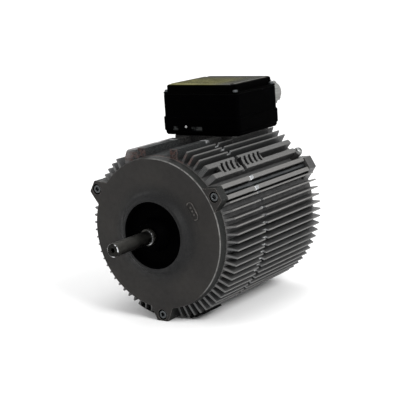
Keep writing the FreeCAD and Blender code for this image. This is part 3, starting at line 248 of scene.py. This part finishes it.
def cast_metal(name, dark, light, rough, machined, accents=(), spared=None, dull=None, worn=2.6,
               shine=0.5, edge_radius=0.45 * MM, gap_shade_reach=9 * MM, gap_shade_depth=0.55):
    """Painted casting: grained skin, worn light edges, painted shade in its gaps and bare machined
    faces.

    machined is a function of the look and gives the mask of the bare faces. An accent is a pair of
    a mask function and the colour of the paint where that mask is 1. Edges aren't worn where the
    mask of spared is 1, and the paint has no sheen where the mask of dull is 1."""
    look = Look(name)
    edge = look.round_edges(edge_radius)
    gap_shade = look.hollow(gap_shade_reach)
    patches = look.noise(34 * MM, detail=5)
    skin = look.noise(0.9 * MM, detail=4, rough=0.65)
    specks = look.step(look.cells(2.6 * MM), 0.16, 0.05, 0.0, 0.30)
    paint = look.mix(look.step(patches, 0.32, 0.70), dark, light)
    for mask, color in accents:
        paint = look.mix(mask(look), paint, color)
    paint = look.mix(look.step(skin, 0.42, 0.62, 0.0, 0.35), paint, shade(light, 1.5))
    paint = look.mix(specks, paint, shade(dark, 0.45))
    rubbed = both(look, edge, look.step(look.noise(5 * MM, detail=4), 0.30, 0.62, 0.0, 0.75))
    if spared:
        rubbed = both(look, rubbed, look.opposite(spared(look)))
    paint = look.mix(rubbed, paint, shade(light, worn))
    # painted shade: the paint is darker where the surface is shut in by others
    paint = look.mix(look.calc("MULTIPLY", gap_shade, gap_shade_depth), paint, shade(dark, 0.3))
    bare = machined(look)
    rings = look.wave(look.calc("ADD", look.reach(), look.y), 0.45 * MM)
    turned = look.mix(look.noise(2 * MM, detail=2), shade(BARE_CAST, 0.82), BARE_CAST)
    look.bump(both(look, rings, bare), 0.02 * MM)
    look.bump(both(look, skin, look.opposite(bare)), 0.10 * MM)
    look.bump(patches, 0.25 * MM, 0.4)
    painted_rough = look.step(look.noise(6 * MM, detail=4), 0.3, 0.7, rough - 0.06, rough + 0.10)
    if dull:
        shine = look.blend(dull(look), shine, 0.0)
    return look.finish(
        look.mix(bare, paint, turned),
        look.blend(bare, painted_rough, 0.34),
        look.blend(bare, 0.35, 0.6),
        Specular_IOR_Level=shine,
    )


def inside_register(look):
    """Mask of the surfaces inside the joint between the frame and the endshields."""
    return look.step(look.reach(), REGISTER + 0.15 * MM, REGISTER + 0.05 * MM)


# ---------------------------------------------------------------- places on the frame

def sector(look, middle, half):
    """Mask of the directions about the shaft that lie near a middle one."""
    return within(look, look.angle(), middle - half, middle + half, SOFT_TURN)


def frame_machined(look):
    """Bore, registers and the groove for the band, which isn't bare on the two thick ribs. It has
    dulled except beside the right tie bolt."""
    outside = look.step(look.reach(), BAND_FLOOR - 0.25 * MM, BAND_FLOOR - 0.15 * MM)
    from_middle = look.away(look.y, BAND_MIDDLE)
    cut = both(look, outside, look.step(from_middle, BAND_HALF + 0.1 * MM, BAND_HALF + 0.05 * MM))
    cut = both(look, cut, look.opposite(sector(look, RELIEF_TURN, RELIEF_HALF)))
    fresh = sector(look, BOLT_TURN, BOLT_HALF)
    dulled = look.step(look.noise(4 * MM, detail=3), 0.40, 0.60, 0.10, 0.60)
    return either(look, inside_register(look), both(look, cut, either(look, fresh, dulled)))


def relief_slot_shade(look):
    """Bottoms and sides of the slots in the web between the two thick ribs, painted near black as
    painted shade.
    """
    slot_half, front, back = 0.012, -184 * MM, -90 * MM
    low = look.step(look.reach(), FIN_TIP - 2.2 * MM, FIN_TIP - 3.2 * MM)
    high = look.step(look.reach(), FIN_TIP - 8.6 * MM, FIN_TIP - 8.0 * MM)
    narrow = sector(look, RELIEF_TURN, slot_half)
    along = within(look, look.y, front, back)
    return both(look, both(look, low, high), both(look, narrow, along))


def frame_top(look, soft):
    """Top of the frame with its two rails, with a soft border of the given width."""
    across = look.step(look.away(look.x, 0.0), TOP_HALF, TOP_HALF - soft)
    return both(look, across, look.step(look.z, TOP_START, TOP_START + 6 * MM))


def box_shadow(look):
    """Top of the frame in front of the terminal box and under it, painted dark as the box's painted
    shadow.
    """
    return frame_top(look, 12 * MM)


def box_shadow_corner(look):
    """Corner between the frame and the foot of the terminal box, painted black as painted shadow."""
    near = look.step(look.y, BOX_FRONT - 30.5 * MM, BOX_FRONT - 10.5 * MM)
    return both(look, frame_top(look, 6 * MM), near)


def shaded_high_flanks(look):
    """Fins on the upper right, whose flanks are painted darker as painted shade."""
    high = look.step(look.z, 58 * MM, 76 * MM)
    return both(look, high, look.step(look.x, 16 * MM, 30 * MM))


def sheen_off(look):
    """Where the paint has no sheen, so that the painted shade stays dark: all of it by the box, some on
    the high fins.
    """
    some = look.calc("MULTIPLY", shaded_high_flanks(look), 0.6)
    return either(look, box_shadow(look), some)


def rusty_ends(look):
    """Front ends of the fins and rails on the top, with a breath of rust."""
    front = look.step(look.y, FACE + 17 * MM, FACE + 14 * MM)
    high = look.step(look.z, TOP_START - 2 * MM, TOP_START + 4 * MM)
    blotch = look.step(look.noise(4 * MM, detail=4), 0.38, 0.58)
    return both(look, both(look, front, high), blotch)


def fin_tips(look):
    """Outer faces of the fins and ribs, painted lighter than their flanks: partly wear, partly a painted
    highlight where they catch the light.
    """
    return look.step(look.reach(), FIN_TIP - 1.4 * MM, FIN_TIP - 0.7 * MM)


def shaded_fin_tips(look):
    """Outer faces of the fins low down and high on the right, painted darker as painted shade."""
    low = look.step(look.z, 20 * MM, -40 * MM)
    return both(look, fin_tips(look), either(look, low, shaded_high_flanks(look)))


# ---------------------------------------------------------------- places on the endshields

def shaded_shield_rim(look):
    """Rim of the front endshield, behind its face, painted darker than the face as painted shade."""
    return look.step(look.y, FACE + 0.6 * MM, FACE + 1.4 * MM)


def rim_highlight(look):
    """Painted highlight: a light line along the edge of the face, on its lit right side."""
    ring = within(look, look.reach(), FACE_EDGE - 1.1 * MM, FACE_EDGE - 0.2 * MM, 0.3 * MM)
    face = look.step(look.y, FACE + 1.4 * MM, FACE + 0.8 * MM)
    rightward = look.calc("ADD", look.x, look.calc("MULTIPLY", look.z, 0.4))
    side = look.step(rightward, 22 * MM, 50 * MM)
    uneven = look.step(look.noise(7 * MM, detail=4), 0.30, 0.55, 0.35, 1.0)
    return both(look, both(look, ring, face), both(look, side, uneven))


def crown_shade(look):
    """Soft slope from the face up to the hub, painted darker and bluer than the face as painted shade.
    """
    return look.step(look.reach(), CROWN + 6 * MM, CROWN - 14 * MM)


def cast_mark(look):
    """Top of the raised mark on the face."""
    height = look.step(look.y, FACE - 0.5 * MM, FACE - 0.9 * MM)
    return both(look, height, look.step(look.reach(), CROWN, CROWN + 1 * MM))


def unrubbed_face(look):
    """Flat middle of the face and the slope in it, which nothing rubs against."""
    flat = look.step(look.reach(), FACE_EDGE - 8 * MM, FACE_EDGE - 10 * MM)
    return both(look, flat, look.opposite(cast_mark(look)))


def front_machined(look):
    """Inside of the front endshield, behind its wall."""
    behind = look.step(look.y, FACE + 2.5 * MM, FACE + 2.7 * MM)
    return both(look, inside_register(look), behind)


def rear_machined(look):
    """Inside of the rear endshield, and the duller ring that is pulled against the bracket."""
    inner = look.step(look.y, -4.5 * MM, -4.7 * MM)
    ring = look.step(look.y, -0.6 * MM, -0.4 * MM, 0.0, 0.5)
    return either(look, both(look, inside_register(look), inner), ring)


# ---------------------------------------------------------------- places on the shaft

def shaft_chamfer(look):
    """Front millimetre of the shaft, with its chamfer and its end face."""
    return look.step(look.y, SHAFT_END + 1.0 * MM, SHAFT_END + 0.8 * MM)


def shaft_painted_glints(look):
    """Painted highlights: bright spots on the chamfers of the shaft's end and on the right side of the
    step behind the extension.
    """
    slope = look.step(look.y, SHAFT_END + 0.02 * MM, SHAFT_END + 0.10 * MM)
    mouth = look.step(look.reach(), 3.5 * MM, 3.3 * MM)
    broken = look.step(look.noise(6 * MM, detail=2), 0.53, 0.60)
    end = both(look, both(look, shaft_chamfer(look), either(look, slope, mouth)), broken)
    ring = within(look, look.reach(), SHAFT, SHAFT + 1 * MM)
    behind = both(look, within(look, look.y, SHAFT_STEP - 0.4 * MM, SHAFT_STEP + 0.4 * MM), ring)
    lit = look.step(look.x, 0.0, 5 * MM, 0.0, 0.45)
    return either(look, end, both(look, behind, lit))


def shaft_painted_shade(look):
    """Painted shade on the shaft next to the hub, underneath and on its left side, and a darker end."""
    inner = look.step(look.y, -262 * MM, -240 * MM, 0.0, 0.8)
    before = look.step(look.y, SHAFT_STEP + 0.8 * MM, SHAFT_STEP + 0.4 * MM)
    below = look.step(look.z, 5 * MM, -6 * MM, 0.0, 0.95)
    left = look.step(look.x, -3 * MM, -8 * MM, 0.0, 0.7)
    along_shaft = either(look, inner, either(look, below, left))
    return either(look, shaft_chamfer(look), both(look, along_shaft, before))


# ---------------------------------------------------------------- other metals

BARE_STEEL = (0.70, 0.71, 0.73)


def turned_steel(name, color, rough, scratch=1.0, glints=None, painted_shade=None):
    """Steel from a lathe: fine rings, a brushed sheen and a thin film of oil.

    Two functions of the look may give the masks of its painted highlights and its painted shade."""
    look = Look(name)
    edge = look.round_edges(0.25 * MM)
    run = look.node("ShaderNodeCombineXYZ", 0, {0: look.reach(), 1: look.y, 2: 0.0})
    rings = look.noise(0.22 * MM, detail=3, vector=run)
    oil = look.noise(14 * MM, detail=4)
    scratches = look.noise(0.35 * MM, detail=2, stretch=(1.0, 0.06, 1.0))
    tone = look.mix(look.step(oil, 0.35, 0.68), shade(color, 0.72), color)
    tone = look.mix(look.step(rings, 0.4, 0.7, 0.0, 0.35), tone, shade(color, 1.4))
    tone = look.mix(look.calc("MULTIPLY", edge, 0.6), tone, shade(color, 1.9))
    # painted shade: darker steel where the mask is 1
    if painted_shade:
        tone = look.mix(painted_shade(look), tone, shade(color, 0.12))
    # painted highlights: bright steel colour where the mask is 1
    if glints:
        tone = look.mix(glints(look), tone, BARE_STEEL)
    look.bump(rings, 0.012 * MM)
    look.bump(look.step(scratches, 0.55, 0.75), 0.01 * MM * scratch)
    return look.finish(tone, look.step(oil, 0.3, 0.7, rough, rough + 0.14), 1.0)


def plain_metal(name, color, rough, grain=0.6, worn=1.7, depth=0.02):
    """Small fastener or plated piece."""
    look = Look(name)
    edge = look.round_edges(0.25 * MM)
    spots = look.noise(3.5 * MM, detail=5)
    fine = look.noise(grain * MM, detail=3)
    tone = look.mix(look.step(spots, 0.34, 0.66), shade(color, 0.7), color)
    tone = look.mix(look.step(fine, 0.45, 0.7, 0.0, 0.3), tone, shade(color, 1.3))
    tone = look.mix(look.calc("MULTIPLY", edge, 0.65), tone, shade(color, worn))
    look.bump(fine, depth * MM)
    return look.finish(tone, look.step(spots, 0.3, 0.7, rough - 0.05, rough + 0.12), 1.0)


def laminated(name):
    """Core of stacked sheets: fine edges along the stack, bluish annealed faces."""
    look = Look(name)
    look.round_edges(0.2 * MM)
    sheets = look.wave(look.y, 0.5 * MM)
    uneven = look.noise(0.5 * MM, detail=2, stretch=(0.05, 1.0, 0.05))
    heat = look.noise(18 * MM, detail=4)
    tone = look.mix(look.step(heat, 0.35, 0.65), (0.20, 0.20, 0.21), (0.17, 0.19, 0.24))
    tone = look.mix(look.step(uneven, 0.40, 0.65, 0.0, 0.6), tone, (0.34, 0.33, 0.31))
    rust = look.step(look.noise(4 * MM, detail=6, rough=0.7), 0.62, 0.72, 0.0, 0.5)
    tone = look.mix(rust, tone, (0.16, 0.07, 0.03))
    look.bump(look.calc("ADD", sheets, uneven), 0.05 * MM)
    return look.finish(tone, look.step(heat, 0.3, 0.7, 0.38, 0.55), 0.9)


def winding():
    """Varnished copper wires laid round the end turns, bound with a white cord."""
    wire, turns_of_cord = 1.1 * MM, 36.0
    look = Look("varnished_copper")
    wander = look.calc("MULTIPLY", look.noise(9 * MM, detail=2), 3 * MM)
    across = look.calc("ADD", look.reach(), wander)
    along = look.calc("ADD", look.y, wander)
    wires = either(look, look.wave(across, wire), look.wave(along, wire))
    turns = look.calc("MULTIPLY", look.calc("ADD", look.angle(), 0.5), turns_of_cord)
    cord = look.step(look.away(look.calc("FRACT", turns), 0.5), 0.10, 0.07)
    ends = look.step(look.away(look.y, CORE_MIDDLE), CORE_HALF + 1 * MM, CORE_HALF + 3 * MM)
    cord = both(look, cord, ends)
    varnish = look.step(look.noise(11 * MM, detail=4), 0.45, 0.7, 0.0, 0.5)
    copper = look.mix(look.step(wires, 0.2, 0.9), (0.16, 0.045, 0.015), (0.62, 0.25, 0.09))
    copper = look.mix(varnish, copper, (0.30, 0.09, 0.02))
    tone = look.mix(cord, copper, (0.62, 0.57, 0.45))
    look.bump(wires, 0.35 * MM)
    look.bump(cord, 0.5 * MM)
    rough = look.blend(cord, 0.28, 0.8)
    metallic = look.blend(cord, 0.6, 0.0)
    return look.finish(tone, rough, metallic, Coat_Weight=0.4, Coat_Roughness=0.2)


# ---------------------------------------------------------------- plastics, rubber and fibre

DUST = (0.35, 0.34, 0.32)


def moulded(name, color, rough, accents=(), dusty=0.0625, worn=2.2, shine=0.35):
    """Moulded plastic: a fine grained skin, slight flow marks, pale edges, a little dust and painted
    shade in its gaps.

    Accents are the same as for cast_metal."""
    look = Look(name)
    edge = look.round_edges(0.5 * MM)
    gap_shade = look.hollow(5 * MM)
    flow = look.noise(22 * MM, detail=3, stretch=(1.0, 0.45, 1.0))
    skin = look.noise(0.45 * MM, detail=3, rough=0.6)
    dust = look.step(look.noise(1.6 * MM, detail=6, rough=0.75), 0.60, 0.74, 0.0, dusty)
    tone = look.mix(look.step(flow, 0.3, 0.7), shade(color, 0.8), shade(color, 1.15))
    tone = look.mix(look.calc("MULTIPLY", edge, 0.35), tone, shade(color, worn))
    tone = look.mix(dust, tone, DUST)
    # painted shade: darker where the surface is shut in by others
    tone = look.mix(look.calc("MULTIPLY", gap_shade, 0.4), tone, shade(color, 0.5))
    for mask, accent in accents:
        tone = look.mix(mask(look), tone, accent)
    look.bump(skin, 0.05 * MM)
    look.bump(flow, 0.15 * MM, 0.5)
    skin_rough = look.step(skin, 0.3, 0.7, rough, rough + 0.12)
    return look.finish(tone, skin_rough, Specular_IOR_Level=shine)


def blind_plug_glint(look):
    """Face of the blind plug on the front wall of the terminal box, painted bright as a painted glint.
    """
    spot = within(look, look.x, BLIND_PLUG_X - BLIND_PLUG_HALF, BLIND_PLUG_X + BLIND_PLUG_HALF)
    face = within(look, look.y, BOX_FRONT - 2.4 * MM, BOX_FRONT - 2.0 * MM, 0.1 * MM)
    return both(look, spot, face)


def lit_wall_panels(look):
    """Two shallow panels low on the front wall of the terminal box, whose floors are painted lighter in
    patches as a painted reflection.
    """
    deep = within(look, look.y, BOX_FRONT - 0.9 * MM, BOX_FRONT - 0.5 * MM, 0.1 * MM)
    across = either(look, *(within(look, look.x, start, end) for start, end in PANELS_X))
    low = look.step(look.z, PANELS_TOP + 1 * MM, PANELS_TOP - 1 * MM)
    patchy = look.step(look.noise(5 * MM, detail=3), 0.35, 0.60)
    return both(look, both(look, deep, across), both(look, low, patchy))


def rubber(name):
    """Black rubber with a dull bloom."""
    look = Look(name)
    look.round_edges(0.3 * MM)
    bloom = look.noise(7 * MM, detail=5)
    skin = look.noise(0.7 * MM, detail=3)
    tone = look.mix(look.step(bloom, 0.45, 0.75), (0.002, 0.002, 0.002), (0.006, 0.006, 0.006))
    look.bump(skin, 0.05 * MM)
    return look.finish(tone, look.step(bloom, 0.3, 0.7, 0.62, 0.82), Specular_IOR_Level=0.05)


def fibre(name):
    """Pressed fibre of the slot wedges."""
    look = Look(name)
    fibres = look.noise(0.8 * MM, detail=5, stretch=(1.0, 0.12, 1.0))
    tone = look.mix(look.step(fibres, 0.35, 0.65), (0.55, 0.47, 0.30), (0.78, 0.71, 0.54))
    look.bump(fibres, 0.06 * MM)
    return look.finish(tone, look.step(fibres, 0.3, 0.7, 0.6, 0.8))


def lid_look():
    """Lid of the terminal box: black sides, and an olive top whose level ridge tops are painted light,
    partly dust and partly a painted sheen.
    """
    low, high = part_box("terminal_box_lid")
    top = high.z
    depth = high.y - low.y
    look = Look("lid_plastic")
    edge = look.round_edges(0.5 * MM)
    skin = look.noise(0.45 * MM, detail=3, rough=0.6)
    on_top = look.step(look.z, top - 1.6 * MM, top - 0.9 * MM)
    leftward = look.step(look.x, 44 * MM, 10 * MM)
    forward = look.step(look.y, low.y + 0.95 * depth, low.y + 0.45 * depth)
    inner = both(look, leftward, forward)
    cloud = look.step(look.noise(13 * MM, detail=4), 0.35, 0.65, 0.7, 1.0)
    level = look.step(look.upward(), 0.5, 0.8)
    ridge = both(look, look.step(look.z, top - 0.6 * MM, top - 0.1 * MM), level)
    black = look.mix(edge, (0.0002, 0.0002, 0.0002), (0.0012, 0.0012, 0.0012))
    film = look.mix(inner, (0.014, 0.014, 0.013), (0.024, 0.023, 0.008))
    # dust and painted sheen: level ridge tops painted light olive grey
    film = look.mix(ridge, film, look.mix(inner, (0.135, 0.135, 0.120), (0.225, 0.215, 0.10)))
    tone = look.mix(both(look, on_top, cloud), black, film)
    look.bump(skin, 0.05 * MM)
    return look.finish(tone, look.step(skin, 0.3, 0.7, 0.42, 0.55), Specular_IOR_Level=0.005)


# ---------------------------------------------------------------- which node wears what

LOOKS = {
    "frame": cast_metal(
        "cast_frame", (0.060, 0.061, 0.063), (0.100, 0.099, 0.097), 0.46, frame_machined,
        accents=[
            # painted shade on the high fins, the tips low down, the top under and before the box and the
            # relief's slot floors; the lighter fin tips are wear and a painted highlight
            (shaded_high_flanks, (0.040, 0.042, 0.042)),
            (fin_tips, (0.135, 0.132, 0.127)),
            (shaded_fin_tips, (0.098, 0.098, 0.096)),
            (box_shadow, (0.014, 0.016, 0.017)),
            (box_shadow_corner, (0.002, 0.002, 0.002)),
            (rusty_ends, (0.055, 0.030, 0.026)),
            (relief_slot_shade, (0.003, 0.003, 0.003)),
        ],
        dull=sheen_off, worn=1.7, gap_shade_reach=14 * MM, gap_shade_depth=0.6,
    ),
    "front": cast_metal(
        "cast_front", (0.012, 0.011, 0.0105), (0.018, 0.0165, 0.015), 0.52, front_machined,
        accents=[
            # painted shade on the rim and the slope to the hub, and a painted highlight along the edge
            # of the face
            (shaded_shield_rim, (0.007, 0.008, 0.0076)),
            (crown_shade, (0.0035, 0.004, 0.0048)),
            (rim_highlight, (0.17, 0.17, 0.165)),
            (cast_mark, (0.068, 0.064, 0.060)),
        ],
        spared=unrubbed_face, worn=11.0, shine=0.3, edge_radius=0.8 * MM,
    ),
    "rear": cast_metal("cast_rear", (0.040, 0.040, 0.040), (0.062, 0.060, 0.057), 0.48, rear_machined),
    "steel": turned_steel(
        # painted highlights and painted shade on the shaft
        "turned_steel", (0.112, 0.110, 0.102), 0.24, glints=shaft_painted_glints, painted_shade=shaft_painted_shade,
    ),
    "black_steel": plain_metal("black_steel", (0.095, 0.101, 0.105), 0.40, worn=2.4),
    "bearing_steel": turned_steel("ground_steel", (0.62, 0.63, 0.65), 0.12, scratch=0.5),
    "lamination": laminated("laminated_core"),
    "cage_aluminium": plain_metal(
        "die_cast_aluminium", (0.66, 0.67, 0.68), 0.42, grain=1.2, worn=1.2, depth=0.08,
    ),
    "copper": winding(),
    "wedge": fibre("pressed_fibre"),
    "black_plastic": moulded(
        "black_plastic", (0.0002, 0.0002, 0.0003), 0.5,
        # painted glint on the blind plug, painted reflection on the wall panels
        accents=[(blind_plug_glint, (0.40, 0.40, 0.40)), (lit_wall_panels, (0.035, 0.037, 0.037))],
        dusty=0.0015, worn=9.0, shine=0.004,
    ),
    "lid_plastic": lid_look(),
    "grey_plastic": moulded("grey_plastic", (0.15, 0.152, 0.145), 0.50, worn=1.25),
    "board": moulded("board_resin", (0.16, 0.035, 0.018), 0.30, worn=1.5),
    "rubber": rubber("black_rubber"),
    "brass": plain_metal("brass", (0.72, 0.50, 0.20), 0.24, worn=1.3),
    "zinc": plain_metal("zinc_plate", (0.34, 0.345, 0.34), 0.46, worn=1.3),
    "lead": moulded("lead_insulation", (0.05, 0.05, 0.06), 0.45),
}

# Nodes that don't wear the look of their material slot.
OWN_LOOK = {
    "terminal_box_lid_screws": "black_steel",
    "front_endshield": "front",
    "rear_endshield": "rear",
}

slots = {piece["node"]: piece["material_slot"] for piece in frame["record"]["subparts"]}
for node, piece in frame["nodes"].items():
    piece.data.materials.clear()
    piece.data.materials.append(LOOKS[OWN_LOOK.get(node, slots[node])])
    for face in piece.data.polygons:
        face.material_index = 0


# ---------------------------------------------------------------- floor, light and camera

FLOOR = cad_box[0].z - 0.2 * MM
CENTRE = (cad_box[0] + cad_box[1]) / 2


def backdrop():
    """Pale floor that curves up into a wall far behind the motor, as one sheet."""
    bend, front, depth, height, half, steps = 0.8, 2.5, 2.6, 3.0, 4.0, 12
    profile = [(-front, 0.0), (depth - bend, 0.0)]
    for step in range(1, steps + 1):
        turn = math.pi / 2 * step / steps
        profile.append((depth - bend + bend * math.sin(turn), bend - bend * math.cos(turn)))
    profile.append((depth, height))
    heading = math.radians(90 + VIEW_AZIMUTH)
    away = Vector((math.cos(heading), math.sin(heading), 0.0))
    side = Vector((-away.y, away.x, 0.0))
    points = []
    for far, up in profile:
        for sign in (-1, 1):
            point = away * far + side * (sign * half) + Vector((0.0, 0.0, FLOOR + up))
            points.append(point)
    faces = [(2 * i, 2 * i + 1, 2 * i + 3, 2 * i + 2) for i in range(len(profile) - 1)]
    mesh = bpy.data.meshes.new("floor")
    mesh.from_pydata([tuple(p) for p in points], [], faces)
    floor = bpy.data.objects.new("floor", mesh)
    bpy.context.scene.collection.objects.link(floor)
    for face in mesh.polygons:
        face.use_smooth = True
    look = Look("pale_paper")
    tooth = look.noise(3 * MM, detail=4)
    tone = look.mix(look.noise(0.4, detail=2), (0.86, 0.86, 0.86), (0.90, 0.90, 0.90))
    look.bump(tooth, 0.05 * MM)
    mesh.materials.append(look.finish(tone, 0.85, Specular_IOR_Level=0.2))


def area_light(name, place, target, size, watts):
    """White rectangular light that points at a target."""
    data = bpy.data.lights.new(name, "AREA")
    data.shape = "RECTANGLE"
    data.size, data.size_y = size
    data.energy = watts
    light = bpy.data.objects.new(name, data)
    light.location = place
    light.rotation_euler = (Vector(target) - Vector(place)).to_track_quat("-Z", "Y").to_euler()
    bpy.context.scene.collection.objects.link(light)


def soft_room(strength):
    """Even white light from all sides."""
    surroundings = bpy.data.worlds.new("soft_room")
    surroundings.use_nodes = True
    background = surroundings.node_tree.nodes["Background"]
    background.inputs["Color"].default_value = (1.0, 1.0, 1.0, 1.0)
    background.inputs["Strength"].default_value = strength
    bpy.context.scene.world = surroundings


# The camera looks at the motor from the right of its shaft and a little above, and is slightly
# rolled. The middle of the picture lies VIEW_SIDE to the right of the front face's middle and
# VIEW_UP above it.
VIEW_AZIMUTH = 35.42
VIEW_ELEVATION = 11.37
VIEW_ROLL = -3.94
VIEW_DISTANCE = 1.3832
VIEW_LENS = 106.6
VIEW_SIDE = 0.0510
VIEW_UP = 0.0400
FACE_MIDDLE = Vector((0.0, FACE, 0.0))


def add_camera():
    """Camera at the place and with the roll and lens of the photo."""
    azimuth = math.radians(VIEW_AZIMUTH)
    elevation = math.radians(VIEW_ELEVATION)
    roll = math.radians(VIEW_ROLL)
    level = Vector((math.sin(azimuth), -math.cos(azimuth), 0.0))
    back = level * math.cos(elevation) + Vector((0.0, 0.0, math.sin(elevation)))
    right = Vector((math.cos(azimuth), math.sin(azimuth), 0.0))
    up = back.cross(right)
    rolled_right = right * math.cos(roll) + up * math.sin(roll)
    rolled_up = up * math.cos(roll) - right * math.sin(roll)
    camera = bpy.data.objects.new("camera", bpy.data.cameras.new("camera"))
    camera.data.lens = VIEW_LENS
    camera.data.sensor_width = 36.0
    camera.data.clip_end = 20.0
    camera.matrix_world = Matrix((rolled_right, rolled_up, back)).transposed().to_4x4()
    aim = FACE_MIDDLE + rolled_right * VIEW_SIDE + rolled_up * VIEW_UP
    camera.location = aim + back * VIEW_DISTANCE
    bpy.context.scene.collection.objects.link(camera)
    bpy.context.scene.camera = camera


backdrop()
soft_room(0.75)
area_light("key", (1.6, -0.6, 1.2), CENTRE, (0.9, 0.9), watts=38)
area_light("top", (0.1, 0.1, 1.9), CENTRE, (1.2, 1.2), watts=8)
area_light("left", (-1.6, -1.2, 0.9), CENTRE, (1.0, 1.0), watts=8)
area_light("wall", (-0.6, 1.0, 2.2), (-1.4, 2.2, 0.4), (2.0, 1.0), watts=22)
add_camera()
bpy.context.scene.view_settings.view_transform = "Standard"
